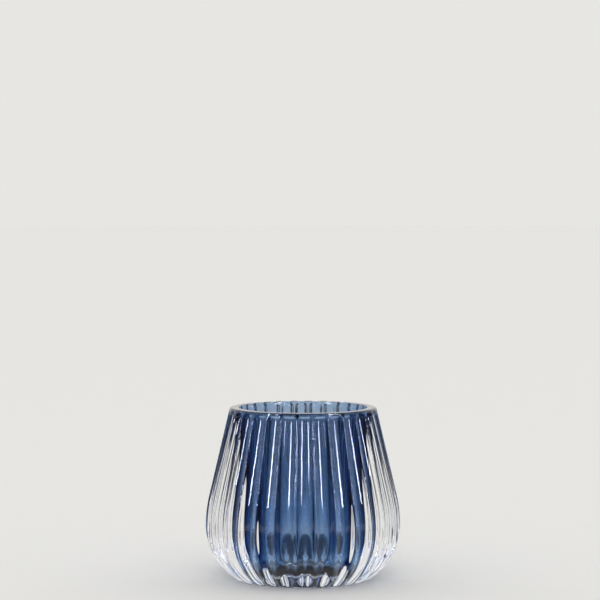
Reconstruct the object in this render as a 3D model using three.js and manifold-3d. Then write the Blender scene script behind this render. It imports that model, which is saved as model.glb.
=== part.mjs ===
// Fluted vase of cased glass, in millimetres, +Z up, standing on Z = 0 with its axis on Z.
// Two pieces of glass: a thick clear casing with flutes down its outside, and the thin
// blue lining of its bore, which stops short of the clear floor.

import * as THREE from 'three';
import * as BufferGeometryUtils from 'three/addons/utils/BufferGeometryUtils.js';
import Module from 'manifold-3d';

const wasm = await Module();
wasm.setup();

// Overall form, measured over the crests between the flutes.
const HEIGHT = 114;
const RIM_RADIUS = 48.9;
const BELLY_RADIUS = 65.1;
const BELLY_HEIGHT = 35.1;
const LOWER_ARC_RADIUS = 41.3;
const UPPER_ARC_RADIUS = 85.8;
const FOOT_RADIUS = 44.2;
const FOOT_BEVEL_HEIGHT = 2.4;
const RIM_ROUNDING = 1.2;

// Ground hollow in the underside, inside the ring that the vase stands on.
const RECESS_RADIUS = 30;
const RECESS_DEPTH = 1.2;

// Flutes: shallow channels side by side all the way round.
const FLUTES = 30;
const FIRST_CREST_ANGLE = THREE.MathUtils.degToRad(-94.7);
const FLUTE_DEPTH = 3;
const FOOT_FLUTE_DEPTH = 4;
const PLAIN_RIM_BAND = 1.4;
const FLUTE_RUN_OUT = 4;

// Bore: a flat floor with a rounded corner, and a wall that flares to the rim.
const BORE_FLOOR = 13.8;
const BORE_CORNER = 8.7;
const BORE_HEEL_RADIUS = 32.6;
const BORE_LOWER_PULL = 37.6;
const BORE_UPPER_PULL = 38.9;
const BORE_RIM_RADIUS = 42.5;

// Blue lining of the bore, from its corner up to the rim.
const LINING_THICKNESS = 1.5;
const LINING_END = 16;

// The two pieces are fused in the real vase. The solids stay this far apart.
const SEAM = 0.3;

const SEGMENTS_PER_FLUTE = 4;
const BORE_SEGMENTS = FLUTES * 2;

// Turns a profile of (radius, height) points about the vertical axis.
function turned(profile, segments) {
  const geometry = new THREE.LatheGeometry(profile, segments, 0, Math.PI * 2);
  geometry.rotateX(Math.PI / 2);
  geometry.deleteAttribute('normal');
  geometry.deleteAttribute('uv');
  return BufferGeometryUtils.mergeVertices(geometry, 1e-4);
}

function toManifold(geometry) {
  const mesh = new wasm.Mesh({
    numProp: 3,
    vertProperties: new Float32Array(geometry.attributes.position.array),
    triVerts: new Uint32Array(geometry.index.array),
  });
  return new wasm.Manifold(mesh);
}

function toGeometry(solid) {
  const mesh = solid.getMesh();
  const geometry = new THREE.BufferGeometry();
  geometry.setAttribute('position', new THREE.BufferAttribute(mesh.vertProperties, 3));
  geometry.setIndex(new THREE.BufferAttribute(mesh.triVerts, 1));
  const faceted = geometry.toNonIndexed();
  faceted.computeVertexNormals();
  return faceted;
}

function arcPoints(centreRadius, centreHeight, radius, start, end, steps) {
  const points = [];
  for (let i = 0; i <= steps; i += 1) {
    const angle = THREE.MathUtils.lerp(start, end, i / steps);
    const r = centreRadius + radius * Math.cos(angle);
    const z = centreHeight + radius * Math.sin(angle);
    points.push(new THREE.Vector2(r, z));
  }
  return points;
}

// Angle of the upper arc at which its tangent runs straight to the rim.
function shoulderAngle() {
  const dr = RIM_RADIUS - (BELLY_RADIUS - UPPER_ARC_RADIUS);
  const dz = HEIGHT - BELLY_HEIGHT;
  const reach = Math.hypot(dr, dz);
  return Math.atan2(dz, dr) - Math.acos(UPPER_ARC_RADIUS / reach);
}

// Outside outline over the crests, from the foot up to the start of the rim rounding.
function crestProfile() {
  const lowerCentre = BELLY_RADIUS - LOWER_ARC_RADIUS;
  const upperCentre = BELLY_RADIUS - UPPER_ARC_RADIUS;
  const heel = -Math.asin((BELLY_HEIGHT - FOOT_BEVEL_HEIGHT) / LOWER_ARC_RADIUS);
  const lower = arcPoints(lowerCentre, BELLY_HEIGHT, LOWER_ARC_RADIUS, heel, 0, 7);
  const upper = arcPoints(upperCentre, BELLY_HEIGHT, UPPER_ARC_RADIUS, 0, shoulderAngle(), 3);
  const shoulder = upper[upper.length - 1];
  const rim = new THREE.Vector2(RIM_RADIUS, HEIGHT);
  const fluteTop = HEIGHT - PLAIN_RIM_BAND;
  const heights = [76, 96, fluteTop - FLUTE_RUN_OUT, fluteTop - 2, fluteTop - 1, fluteTop];
  const wall = heights.map((z) => {
    return shoulder.clone().lerp(rim, (z - shoulder.y) / (rim.y - shoulder.y));
  });
  const foot = new THREE.Vector2(FOOT_RADIUS, 0);
  return [foot, ...lower, ...upper.slice(1), ...wall];
}

// How far the surface is sunk below the crests at a height and an angle about the axis.
function fluteSink(z, angle) {
  const pitch = (Math.PI * 2) / FLUTES;
  const turns = (angle - FIRST_CREST_ANGLE) / pitch;
  const across = 2 * (turns - Math.floor(turns)) - 1;
  const fluteTop = HEIGHT - PLAIN_RIM_BAND;
  const climb = THREE.MathUtils.clamp((z - fluteTop + FLUTE_RUN_OUT) / FLUTE_RUN_OUT, 0, 1);
  const fall = THREE.MathUtils.clamp(1 - z / BELLY_HEIGHT, 0, 1);
  const depth = FLUTE_DEPTH + (FOOT_FLUTE_DEPTH - FLUTE_DEPTH) * fall;
  return Math.max(0, depth * (1 - across * across - climb * climb));
}

// Solid glass body with the flutes pressed in and the underside hollowed.
function flutedBlank() {
  const wall = crestProfile();
  const rimEdge = wall[wall.length - 1];
  const profile = [
    new THREE.Vector2(0, RECESS_DEPTH),
    new THREE.Vector2(RECESS_RADIUS * 0.6, RECESS_DEPTH * 0.7),
    new THREE.Vector2(RECESS_RADIUS, 0),
    new THREE.Vector2(FOOT_RADIUS - FOOT_FLUTE_DEPTH - 2, 0),
    ...wall,
    new THREE.Vector2(RIM_RADIUS - RIM_ROUNDING * 0.2, HEIGHT - RIM_ROUNDING * 0.35),
    new THREE.Vector2(RIM_RADIUS - RIM_ROUNDING, HEIGHT),
    new THREE.Vector2(0, HEIGHT),
  ];
  const geometry = turned(profile, FLUTES * SEGMENTS_PER_FLUTE);
  geometry.rotateZ(FIRST_CREST_ANGLE);
  const position = geometry.attributes.position;
  for (let i = 0; i < position.count; i += 1) {
    const x = position.getX(i);
    const y = position.getY(i);
    const z = position.getZ(i);
    const radius = Math.hypot(x, y);
    const outside = radius > FOOT_RADIUS - 1 && z < rimEdge.y + 1e-6;
    if (outside) {
      const scale = 1 - fluteSink(z, Math.atan2(y, x)) / radius;
      position.setXY(i, x * scale, y * scale);
    }
  }
  return toManifold(geometry);
}

// Everything inside the bore's outline grown outward, closed across the top.
function boreSolid(growth, top) {
  const heelHeight = BORE_FLOOR + BORE_CORNER;
  const cornerCentre = BORE_HEEL_RADIUS - BORE_CORNER;
  const corner = arcPoints(cornerCentre, heelHeight, BORE_CORNER + growth, -Math.PI / 2, 0, 5);
  const third = (HEIGHT - heelHeight) / 3;
  const flare = new THREE.CubicBezierCurve(
    new THREE.Vector2(BORE_HEEL_RADIUS, heelHeight),
    new THREE.Vector2(BORE_LOWER_PULL, heelHeight + third),
    new THREE.Vector2(BORE_UPPER_PULL, heelHeight + third * 2),
    new THREE.Vector2(BORE_RIM_RADIUS, HEIGHT),
  );
  const wall = flare.getPoints(6).map((p) => new THREE.Vector2(p.x + growth, p.y));
  wall[wall.length - 1].y = top;
  const profile = [
    new THREE.Vector2(0, BORE_FLOOR - growth),
    ...corner,
    ...wall.slice(1),
    new THREE.Vector2(0, top),
  ];
  return toManifold(turned(profile, BORE_SEGMENTS));
}

function above(solid, height) {
  return solid.trimByPlane([0, 0, 1], height);
}

// Clear casing: ribbed outside, with the bore and the seat of the lining cut out of it.
const liningSeat = above(boreSolid(LINING_THICKNESS + SEAM, HEIGHT + 1), LINING_END - SEAM);
const casing = flutedBlank().subtract(boreSolid(0, HEIGHT + 1)).subtract(liningSeat);

// Blue lining: a sleeve with an even wall, open at both ends.
const sleeve = boreSolid(LINING_THICKNESS, HEIGHT).subtract(boreSolid(0, HEIGHT + 1));
const lining = above(sleeve, LINING_END);

const clearGlass = new THREE.MeshStandardMaterial({
  color: 0xcfd0d2,
  roughness: 0.05,
  metalness: 0,
  transparent: true,
  opacity: 0.35,
});

const blueGlass = new THREE.MeshStandardMaterial({
  color: 0x455c80,
  roughness: 0.05,
  metalness: 0,
  transparent: true,
  opacity: 0.6,
});

const casingMesh = new THREE.Mesh(toGeometry(casing), clearGlass);
casingMesh.name = 'clear_casing';

const liningMesh = new THREE.Mesh(toGeometry(lining), blueGlass);
liningMesh.name = 'blue_lining';

const vase = new THREE.Group();
vase.name = 'vase';
vase.add(casingMesh, liningMesh);

export default vase;
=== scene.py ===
import math
import random

import bmesh
import bpy
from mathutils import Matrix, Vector, noise


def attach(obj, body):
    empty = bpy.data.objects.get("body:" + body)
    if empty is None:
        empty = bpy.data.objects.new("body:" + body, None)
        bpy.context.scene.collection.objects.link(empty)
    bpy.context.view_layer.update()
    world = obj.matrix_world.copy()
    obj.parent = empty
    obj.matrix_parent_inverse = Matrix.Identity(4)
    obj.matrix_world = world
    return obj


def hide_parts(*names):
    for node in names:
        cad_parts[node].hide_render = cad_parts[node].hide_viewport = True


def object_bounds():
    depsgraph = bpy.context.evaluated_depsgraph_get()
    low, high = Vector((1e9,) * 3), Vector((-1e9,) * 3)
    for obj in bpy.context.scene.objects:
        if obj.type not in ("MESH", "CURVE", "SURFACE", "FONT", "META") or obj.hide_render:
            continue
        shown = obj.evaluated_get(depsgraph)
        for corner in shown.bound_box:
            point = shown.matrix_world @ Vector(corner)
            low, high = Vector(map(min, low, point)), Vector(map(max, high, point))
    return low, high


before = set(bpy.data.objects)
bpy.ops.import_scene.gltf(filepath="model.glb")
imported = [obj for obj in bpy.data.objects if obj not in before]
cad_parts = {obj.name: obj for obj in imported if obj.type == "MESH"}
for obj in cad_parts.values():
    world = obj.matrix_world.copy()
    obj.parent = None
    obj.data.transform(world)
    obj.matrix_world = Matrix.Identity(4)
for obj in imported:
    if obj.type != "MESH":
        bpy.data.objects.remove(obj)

cad_low, cad_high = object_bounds()
scene = bpy.context.scene

# The view: a long lens well in front of the vase and a little above it, a shade to the left
# of its axis and tipped slightly down, so the far side of the mouth shows as a thin oval.
view = bpy.data.objects.new("view", bpy.data.cameras.new("view"))
scene.collection.objects.link(view)
view.data.sensor_width = 36
view.data.lens = 123.2
view.location = (-0.00204, -1.3672, 0.2399)
view.rotation_euler = (math.radians(90 - 2.283), 0, 0)
scene.camera = view


# ---------------------------------------------------------------------------------------
# Clear casing: the thick colourless glass that makes the vase's whole body. A gather of
# soda glass was blown into a fluted iron mould, so shallow channels run down the outside
# with fire-softened ridges between them; the rim was reheated until its edges rounded.

MM = 0.001
HEIGHT = cad_high.z - cad_low.z
RIM_RADIUS = 48.9 * MM
BELLY_RADIUS = 65.1 * MM
BELLY_HEIGHT = 35.1 * MM
LOWER_ARC = 41.3 * MM
UPPER_ARC = 85.8 * MM
FOOT_RADIUS = 44.2 * MM
FOOT_BEVEL = 2.4 * MM
RIM_ROUNDING = 1.2 * MM
RECESS_RADIUS = 30.0 * MM
RECESS_DEPTH = 1.2 * MM

FLUTES = 30
FIRST_RIDGE = math.radians(-94.7)
FLUTE_DEPTH_AT_FOOT = 4.6 * MM
FLUTE_DEPTH = 3.4 * MM
FLUTE_RUN_OUT = 4.0 * MM
PLAIN_RIM_BAND = 1.2 * MM
STEPS_PER_FLUTE = 32

# The blown wall strays from its true outline by a few hundredths of a millimetre, and lies
# far enough inside it never to pass it.
WALL_INSET = 0.05 * MM
WALL_SWAY = 0.012 * MM

# The flat ring that the vase stands on ends short of the flutes. The last stretch under the
# rim has finer steps, which the arched ends of the flutes need.
FOOT_RING_INSET = 5.6 * MM
FINE_STEPS_UNDER_RIM = 6.5 * MM

# Bore: the hollow that the water stands in, down to a clear flat floor.
BORE_FLOOR = 13.8 * MM
BORE_CORNER = 8.7 * MM
BORE_HEEL = 32.6 * MM
BORE_LOWER_PULL = 37.6 * MM
BORE_UPPER_PULL = 38.9 * MM
BORE_RIM = 42.5 * MM
BORE_LIP = 0.8 * MM


def bore_wall(steps):
    """(radius, height) points down the wall of the bore, on one curve from rim to corner."""
    low = BORE_FLOOR + BORE_CORNER
    points = []
    for i in range(steps + 1):
        t = 1 - i / steps
        u = 1 - t
        weights = (u * u * u, 3 * u * u * t, 3 * u * t * t, t * t * t)
        pulls = (BORE_HEEL, BORE_LOWER_PULL, BORE_UPPER_PULL, BORE_RIM)
        radius = sum(weight * pull for weight, pull in zip(weights, pulls))
        points.append((radius, low + (HEIGHT - low) * t))
    return points


def arc(radius, height, size, start, end, steps):
    """Points on an arc about a centre given as (radius, height)."""
    points = []
    for i in range(steps + 1):
        angle = start + (end - start) * i / steps
        points.append((radius + size * math.cos(angle), height + size * math.sin(angle)))
    return points


def smooth_step(low, high, value):
    """0 up to the low value, 1 from the high value on, and an S-shaped rise between."""
    t = min(max((value - low) / (high - low), 0), 1)
    return t * t * (3 - 2 * t)


def ridge_outline():
    """Outside of the casing over its ridges, from the foot to just under the rim."""
    lower_centre = BELLY_RADIUS - LOWER_ARC
    upper_centre = BELLY_RADIUS - UPPER_ARC
    heel = -math.asin((BELLY_HEIGHT - FOOT_BEVEL) / LOWER_ARC)
    run = math.hypot(RIM_RADIUS - upper_centre, HEIGHT - BELLY_HEIGHT)
    lean = math.atan2(HEIGHT - BELLY_HEIGHT, RIM_RADIUS - upper_centre)
    shoulder = lean - math.acos(UPPER_ARC / run)
    lower = arc(lower_centre, BELLY_HEIGHT, LOWER_ARC, heel, 0, 44)
    upper = arc(upper_centre, BELLY_HEIGHT, UPPER_ARC, 0, shoulder, 10)
    last_radius, last_height = upper[-1]
    fine_from = HEIGHT - RIM_ROUNDING - FINE_STEPS_UNDER_RIM
    straight = []
    for i in range(1, 23):
        straight.append(last_height + (fine_from - last_height) * i / 22)
    for i in range(1, 15):
        straight.append(fine_from + FINE_STEPS_UNDER_RIM * i / 14)
    slope = (RIM_RADIUS - last_radius) / (HEIGHT - last_height)
    wall = [(last_radius + slope * (z - last_height), z) for z in straight]
    foot_radius, foot_height = lower[0]
    bevel = []
    for t in (0, 0.33, 0.66):
        radius = FOOT_RADIUS + (foot_radius - FOOT_RADIUS) * t
        bevel.append((radius, foot_height * t ** 1.5))
    return bevel + lower + upper[1:] + wall


def scallop(x, upright):
    """Depth from 0 on a ridge to 1 in mid-flute: round lobes at the foot, and narrow
    ridges between broad hollows where the wall stands upright."""
    lobe = x ** 1.85
    hollow = 1 - (1 - x) ** 2.4
    return lobe + (hollow - lobe) * upright


def across_flute(offset, height):
    """The same, with the ridge and the bottom of the flute softened by the fire."""
    upright = smooth_step(6 * MM, 36 * MM, height)
    softness = 0.25 - 0.09 * upright
    total = 0
    on_ridge = 0
    count = 9
    for i in range(count):
        step = softness * (2 * i / (count - 1) - 1)
        x = abs(offset + step)
        total += scallop(2 - x if x > 1 else x, upright)
        on_ridge += scallop(abs(step), upright)
    return max(0, total - on_ridge) / (count - on_ridge)


def flute_sink(offset, height):
    """How far the surface lies under the ridges; each flute ends in an arch at the rim."""
    share = smooth_step(0, BELLY_HEIGHT, height)
    full = FLUTE_DEPTH_AT_FOOT + (FLUTE_DEPTH - FLUTE_DEPTH_AT_FOOT) * share
    top = HEIGHT - PLAIN_RIM_BAND
    climb = min(max((height - top + FLUTE_RUN_OUT) / FLUTE_RUN_OUT, 0), 1)
    left = across_flute(offset, height) - climb ** 2.4
    return full * (left + math.sqrt(left * left + 0.006 * climb)) / 2


def flute_columns():
    """Angle, flute and place across it of every column of points round the vase."""
    draw = random.Random(31)
    pitch = 2 * math.pi / FLUTES
    drift = [draw.gauss(0, 0.018) * pitch for _ in range(FLUTES)]
    depth = [1 + draw.gauss(0, 0.05) for _ in range(FLUTES)]
    columns = []
    for flute in range(FLUTES):
        start = FIRST_RIDGE + pitch * flute + drift[flute]
        end = FIRST_RIDGE + pitch * (flute + 1) + drift[(flute + 1) % FLUTES]
        for i in range(STEPS_PER_FLUTE):
            side = 2 * i / STEPS_PER_FLUTE - 1
            bunched = math.copysign(1 - (1 - abs(side)) ** 1.3, side)
            share = (bunched + 1) / 2
            columns.append((start + (end - start) * share, depth[flute], 1 - abs(bunched)))
    return columns


def turned_mesh(name, rows, angles, low_centre, high_centre):
    """Closed skin through rings of points; the rings run from one centre to the other."""
    mesh = bpy.data.meshes.new(name)
    build = bmesh.new()
    rings = []
    for row in rows:
        ring = []
        for angle, (radius, height) in zip(angles, row):
            ring.append(build.verts.new((radius * math.cos(angle), radius * math.sin(angle), height)))
        rings.append(ring)
    count = len(angles)
    for lower, upper in zip(rings, rings[1:]):
        for i in range(count):
            j = (i + 1) % count
            build.faces.new((lower[i], lower[j], upper[j], upper[i]))
    for ring, height, flip in ((rings[0], low_centre, True), (rings[-1], high_centre, False)):
        middle = build.verts.new((0, 0, height))
        for i in range(count):
            j = (i + 1) % count
            corners = (ring[j], ring[i], middle) if flip else (ring[i], ring[j], middle)
            build.faces.new(corners)
    bmesh.ops.recalc_face_normals(build, faces=build.faces)
    for face in build.faces:
        face.smooth = True
    build.to_mesh(mesh)
    build.free()
    return mesh


def bore_outline():
    """Wall of the bore from the rim down, and its rounded corner."""
    centre = (BORE_HEEL - BORE_CORNER, BORE_FLOOR + BORE_CORNER)
    return bore_wall(46) + arc(*centre, BORE_CORNER, 0, -math.pi / 2, 12)[1:]


def casing_rows(columns):
    """Rings of (radius, height) from the middle of the underside round to the bore floor."""
    rows = []
    plain = len(columns)
    for i in range(1, 6):
        t = i / 5
        rows.append([(RECESS_RADIUS * t, RECESS_DEPTH * (1 - t * t))] * plain)
    ring_width = FOOT_RADIUS - FOOT_RING_INSET - RECESS_RADIUS
    for share in (0.34, 0.68, 0.9):
        rows.append([(RECESS_RADIUS + ring_width * share, 0)] * plain)
    for radius, height in ridge_outline():
        sinks = {}
        row = []
        for angle, depth, offset in columns:
            if offset not in sinks:
                sinks[offset] = flute_sink(offset, height)
            spot = Vector((math.cos(angle) * 2.6, math.sin(angle) * 2.6, height * 22))
            sway = noise.noise(spot) * WALL_SWAY
            row.append((radius - sinks[offset] * depth + sway - WALL_INSET, height))
        rows.append(row)
    edge = rows[-1]
    for i in range(1, 5):
        turn = math.pi / 2 * i / 4
        fall = RIM_ROUNDING * (1 - math.cos(turn))
        lift = RIM_ROUNDING * math.sin(turn)
        rows.append([(radius - fall, height + lift) for radius, height in edge])
    bore = bore_outline()
    rim_radius = bore[0][0]
    for i in range(0, 4):
        turn = math.pi / 2 * i / 4
        radius = rim_radius + BORE_LIP * (1 - math.sin(turn))
        height = HEIGHT - BORE_LIP * (1 - math.cos(turn))
        rows.append([(radius, height)] * plain)
    for radius, height in bore:
        if height < HEIGHT - BORE_LIP:
            rows.append([(radius, height)] * plain)
    for share in (0.75, 0.5, 0.25, 0.05):
        rows.append([(bore[-1][0] * share, BORE_FLOOR)] * plain)
    return rows


columns = flute_columns()
casing_mesh = turned_mesh(
    "clear_casing_glass",
    casing_rows(columns),
    [column[0] for column in columns],
    RECESS_DEPTH,
    BORE_FLOOR,
)
casing = bpy.data.objects.new("clear_casing_glass", casing_mesh)
scene.collection.objects.link(casing)


def linear(hex_colour):
    """Linear red, green and blue of an sRGB colour written as a hex number."""
    parts = []
    for shift in (16, 8, 0):
        value = ((hex_colour >> shift) & 255) / 255
        parts.append(value / 12.92 if value <= 0.04045 else ((value + 0.055) / 1.055) ** 2.4)
    return tuple(parts)


def add(tree, kind, settings, links):
    """Adds one node, sets its attributes and inputs, and links its inputs to outputs."""
    node = tree.nodes.new(kind)
    for name, value in settings.items():
        if name in node.inputs:
            node.inputs[name].default_value = value
        else:
            setattr(node, name, value)
    for name, output in links.items():
        tree.links.new(output, node.inputs[name])
    return node


def new_material(name):
    """Material with no nodes yet, and its node tree."""
    material = bpy.data.materials.new(name)
    material.use_nodes = True
    tree = material.node_tree
    tree.nodes.clear()
    return material, tree


# Colourless soda-lime glass, mould blown and fire polished: a mirror-smooth skin, clear
# right through, with faint cords drawn down the wall where the gather was stretched and a
# slight chill from the mould. It gives bright hard-edged streaks that waver a little.
clear_glass, tree = new_material("soda_glass_mould_blown")
place = add(tree, "ShaderNodeTexCoord", {}, {})
drawn = add(tree, "ShaderNodeMapping", {"Scale": (1, 1, 0.12)}, {"Vector": place.outputs["Object"]})
# Cords about 7 mm apart round the wall and eight times longer down it.
cords = add(tree, "ShaderNodeTexNoise", {"Scale": 150, "Detail": 2, "Roughness": 0.4},
            {"Vector": drawn.outputs["Vector"]})
# Mould chill: soft dimples about 3 mm across.
chill = add(tree, "ShaderNodeTexNoise", {"Scale": 330, "Detail": 1, "Roughness": 0.4},
            {"Vector": place.outputs["Object"]})
cord_relief = add(tree, "ShaderNodeBump", {"Strength": 1, "Distance": 0.002 * MM},
                  {"Height": cords.outputs["Fac"]})
relief = add(tree, "ShaderNodeBump", {"Strength": 1, "Distance": 0.0002 * MM},
             {"Height": chill.outputs["Fac"], "Normal": cord_relief.outputs["Normal"]})
skin = add(tree, "ShaderNodeBsdfPrincipled",
           {"Base Color": (*linear(0xFFFFFF), 1), "Metallic": 0, "Roughness": 0.0, "IOR": 1.52,
            "Transmission Weight": 1.0},
           {"Normal": relief.outputs["Normal"]})
add(tree, "ShaderNodeOutputMaterial", {}, {"Surface": skin.outputs["BSDF"]})
casing_mesh.materials.append(clear_glass)
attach(casing, "root")
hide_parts("clear_casing")


# ---------------------------------------------------------------------------------------
# Blue lining: a thin sleeve of transparent blue glass inside the wall, laid on the blowing
# iron before the clear glass was gathered over it, so the two are one solid wall. It stops
# at the corner of the bore and leaves the floor clear.

LINING_THICKNESS = 1.5 * MM
LINING_TOP = HEIGHT - 0.25 * MM
LINING_END = math.radians(-45)
LINING_STEPS = 124

# The gather was drawn thinner towards the corner, between these two heights.
LINING_THIN_SHARE = 0.52
THINNEST_BELOW = 16 * MM
EVEN_ABOVE = 31 * MM

# Its inner face stands proud of the bore, so that the clear glass's own face lies inside it.
LINING_PROUD = 0.03 * MM
LINING_WANDER = 0.18 * MM


def lining_profile(outward, thin_share):
    """One face of the lining from the rim down to its end at the corner."""
    points = []
    for radius, height in bore_wall(46):
        share = thin_share + (1 - thin_share) * smooth_step(THINNEST_BELOW, EVEN_ABOVE, height)
        points.append((radius + outward * share, min(height, LINING_TOP)))
    centre = (BORE_HEEL - BORE_CORNER, BORE_FLOOR + BORE_CORNER)
    corner = arc(*centre, BORE_CORNER + outward * thin_share, 0, LINING_END, 8)
    return points + corner[1:]


lining_mesh = bpy.data.meshes.new("blue_lining_glass")
build = bmesh.new()
inner_face = lining_profile(-LINING_PROUD, 1)
outer_face = lining_profile(LINING_THICKNESS, LINING_THIN_SHARE)
loop = outer_face + inner_face[::-1]
outer_count = len(outer_face)
rings = []
for i, (radius, height) in enumerate(loop):
    ring = []
    for step in range(LINING_STEPS):
        angle = 2 * math.pi * step / LINING_STEPS
        grown = radius
        if i < outer_count:
            spot = Vector((math.cos(angle) * 1.4, math.sin(angle) * 1.4, height * 14))
            grown += noise.noise(spot) * LINING_WANDER
        ring.append(build.verts.new((grown * math.cos(angle), grown * math.sin(angle), height)))
    rings.append(ring)
for i, ring in enumerate(rings):
    following = rings[(i + 1) % len(rings)]
    for step in range(LINING_STEPS):
        other = (step + 1) % LINING_STEPS
        build.faces.new((ring[step], ring[other], following[other], following[step]))
bmesh.ops.recalc_face_normals(build, faces=build.faces)
for face in build.faces:
    face.smooth = True
build.to_mesh(lining_mesh)
build.free()
lining = bpy.data.objects.new("blue_lining_glass", lining_mesh)
scene.collection.objects.link(lining)

# Cobalt-tinted soda-lime glass, blown as one with the casing: all its colour is in its
# depth, so it is pale where the wall is crossed once and near navy where it is crossed
# edge-on. No air lies between it and the clear glass, so light passes in without bending.
blue_glass, tree = new_material("cobalt_glass_lining")
THROUGH_ONE_WALL = linear(0x94AFCE)
MOST_ABSORBED = 0.9
# Loss of each colour per metre: the density carries its size, and the tint its balance.
loss = [-math.log(share) / LINING_THICKNESS for share in THROUGH_ONE_WALL]
density = max(loss) / MOST_ABSORBED
tint = [1 - value / density for value in loss]
skin = add(tree, "ShaderNodeBsdfPrincipled",
           {"Base Color": (*linear(0xFFFFFF), 1), "Roughness": 0.0, "IOR": 1.0,
            "Transmission Weight": 1.0}, {})
depth_colour = add(tree, "ShaderNodeVolumeAbsorption", {"Color": (*tint, 1), "Density": density}, {})
add(tree, "ShaderNodeOutputMaterial", {},
    {"Surface": skin.outputs["BSDF"], "Volume": depth_colour.outputs["Volume"]})
lining_mesh.materials.append(blue_glass)
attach(lining, "root")
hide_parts("blue_lining")


# ---------------------------------------------------------------------------------------
# The stage: a plain pale table that runs out of sight on every side under a pale sky of
# the same tone. Tall bright cards draw the lines down the ridges, and dark sheets of painted
# shade on the table, seen only by the glass, give it something to hold its shape against.

TABLE_PAINT = linear(0xE7E6E3)
TABLE_REACH = 60.0

table_mesh = bpy.data.meshes.new("table")
build = bmesh.new()
bmesh.ops.create_circle(build, cap_ends=True, segments=96, radius=TABLE_REACH)
build.to_mesh(table_mesh)
build.free()
table = bpy.data.objects.new("table", table_mesh)
table.location = (0, 0, cad_low.z)
scene.collection.objects.link(table)
paint, tree = new_material("matt_table_paint")
skin = add(tree, "ShaderNodeBsdfPrincipled",
           {"Base Color": (*TABLE_PAINT, 1), "Roughness": 0.9, "Specular IOR Level": 0.1}, {})
add(tree, "ShaderNodeOutputMaterial", {}, {"Surface": skin.outputs["BSDF"]})
table_mesh.materials.append(paint)

# White light falls on the table; what is seen of the sky has the tone of the lit table.
# Mirrored off the glass, the sky is dim in front, so that the flutes keep their depth, and
# bright behind, so that the rim keeps its pale edge.
room = bpy.data.worlds.new("room")
scene.world = room
room.use_nodes = True
tree = room.node_tree
tree.nodes.clear()
path = add(tree, "ShaderNodeLightPath", {}, {})
seen = add(tree, "ShaderNodeMath", {"operation": "MAXIMUM"}, {})
tree.links.new(path.outputs["Is Camera Ray"], seen.inputs[0])
tree.links.new(path.outputs["Is Glossy Ray"], seen.inputs[1])
light = add(tree, "ShaderNodeBackground", {"Color": (*linear(0xFFFFFF), 1), "Strength": 1.0}, {})
tone = add(tree, "ShaderNodeBackground", {"Color": (*TABLE_PAINT, 1), "Strength": 1.0}, {})
sky = add(tree, "ShaderNodeMixShader", {}, {"Fac": seen.outputs["Value"]})
tree.links.new(light.outputs["Background"], sky.inputs[1])
toward = add(tree, "ShaderNodeTexCoord", {}, {})
bearings = add(tree, "ShaderNodeSeparateXYZ", {}, {"Vector": toward.outputs["Generated"]})
behind = add(tree, "ShaderNodeMapRange",
             {"From Min": -0.1, "From Max": 0.5, "To Min": 0.18, "To Max": 1.1},
             {"Value": bearings.outputs["Y"]})
dim = add(tree, "ShaderNodeBackground", {"Color": (*TABLE_PAINT, 1)},
          {"Strength": behind.outputs["Result"]})
mirrored = add(tree, "ShaderNodeMath", {"operation": "SUBTRACT"}, {})
tree.links.new(path.outputs["Is Glossy Ray"], mirrored.inputs[0])
tree.links.new(path.outputs["Is Transmission Ray"], mirrored.inputs[1])
far = add(tree, "ShaderNodeMixShader", {}, {"Fac": mirrored.outputs["Value"]})
tree.links.new(tone.outputs["Background"], far.inputs[1])
tree.links.new(dim.outputs["Background"], far.inputs[2])
tree.links.new(far.outputs["Shader"], sky.inputs[2])
add(tree, "ShaderNodeOutputWorld", {}, {"Surface": sky.outputs["Shader"]})


def for_the_glass(name, build, material):
    """Stage piece that only the glass sees, in its reflections and through it."""
    mesh = bpy.data.meshes.new(name)
    build.to_mesh(mesh)
    build.free()
    mesh.materials.append(material)
    piece = bpy.data.objects.new(name, mesh)
    scene.collection.objects.link(piece)
    piece.visible_camera = False
    piece.visible_shadow = False
    piece.visible_diffuse = False
    return piece


CARD_WIDTH = 0.35
CARD_TOP = 1.6
CARD_DISTANCE = 1.5


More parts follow.
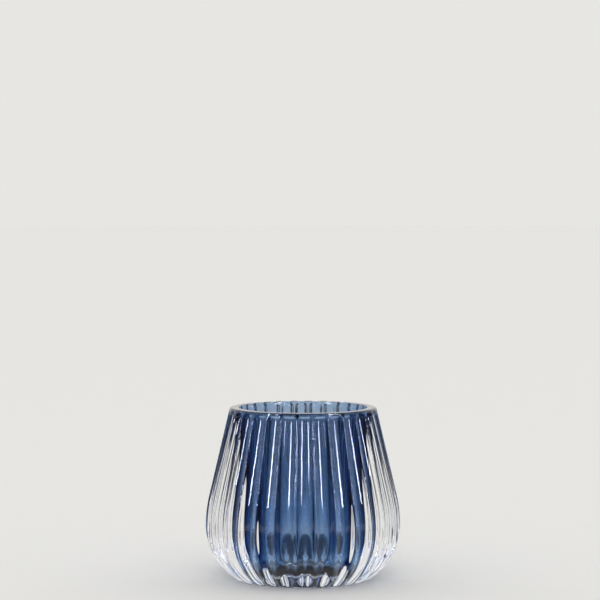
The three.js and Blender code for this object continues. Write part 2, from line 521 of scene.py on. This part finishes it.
def bright_card(name, bearing, foot, glow):
    """Upright lit card that faces the vase, on a bearing from straight in front of it."""
    lit, tree = new_material(name)
    lamp = add(tree, "ShaderNodeEmission", {"Color": (*linear(0xF1F3FF), 1), "Strength": glow}, {})
    add(tree, "ShaderNodeOutputMaterial", {}, {"Surface": lamp.outputs["Emission"]})
    height = CARD_TOP - foot
    build = bmesh.new()
    for x, y in ((-0.5, -0.5), (0.5, -0.5), (0.5, 0.5), (-0.5, 0.5)):
        build.verts.new((x * CARD_WIDTH, y * height, 0))
    build.faces.new(build.verts)
    piece = for_the_glass(name, build, lit)
    turn = math.radians(bearing)
    x = CARD_DISTANCE * math.sin(turn)
    y = -CARD_DISTANCE * math.cos(turn)
    piece.location = (x, y, (foot + CARD_TOP) / 2)
    piece.rotation_euler = Vector((-x, -y, 0)).to_track_quat("Z", "Y").to_euler()


# A bright pair in front, either side, draws the line on each ridge; their lower edges are
# high enough that the lines end where the wall turns in. A softer pair, higher up at the two
# sides, lights the edges of the rim and the shoulders.
bright_card("card_bright_left", -50, 0.43, 32.0)
bright_card("card_bright_right", 50, 0.43, 32.0)
bright_card("card_soft_left", -88, 0.9, 2.5)
bright_card("card_soft_right", 88, 0.9, 2.5)

# Painted shade on the table, as dark sheets that only the glass sees. A small round one under
# the foot is a painted shadow that darkens the base between its bright streaks. A half ring of
# painted shade behind it makes the dark spots low in the blue. A wide one in front is painted
# shade that keeps the pale table's own reflection off the belly.
SHADE_LIFT = 0.6 * MM
SHADE_STEPS = 48

# Near-black matt paint for the painted shade on the table.
painted_shade, tree = new_material("painted_shade_black")
skin = add(tree, "ShaderNodeBsdfPrincipled",
           {"Base Color": (*linear(0x1D1D21), 1), "Roughness": 0.9}, {})
add(tree, "ShaderNodeOutputMaterial", {}, {"Surface": skin.outputs["BSDF"]})


def painted_shade_ring(name, inner, outer, first, last):
    """Flat ring of painted shade, or part of one, between two radii and two angles in degrees."""
    build = bmesh.new()
    edges = []
    for radius in (inner, outer):
        edge = []
        for step in range(SHADE_STEPS + 1):
            angle = math.radians(first + (last - first) * step / SHADE_STEPS)
            edge.append(build.verts.new((radius * math.cos(angle), radius * math.sin(angle), 0)))
        edges.append(edge)
    inside, outside = edges
    for step in range(SHADE_STEPS):
        build.faces.new((inside[step], outside[step], outside[step + 1], inside[step + 1]))
    piece = for_the_glass(name, build, painted_shade)
    piece.location = (0, 0, cad_low.z + SHADE_LIFT)


# Painted shade: a painted shadow under the foot, and painted shade behind it and in front of it.
painted_shade_ring("painted_shadow_under_foot", 0.001, 0.043, 0, 360)
painted_shade_ring("painted_shade_behind", 0.052, 0.126, 15, 165)
painted_shade_ring("painted_shade_in_front", 0.07, 0.5, -165, -15)

# Glass needs many bounces: a ray through both walls crosses eight faces, and more are mirrored.
scene.view_settings.view_transform = "Standard"
scene.cycles.max_bounces = 24
scene.cycles.transmission_bounces = 24
scene.cycles.glossy_bounces = 12
scene.cycles.transparent_max_bounces = 24
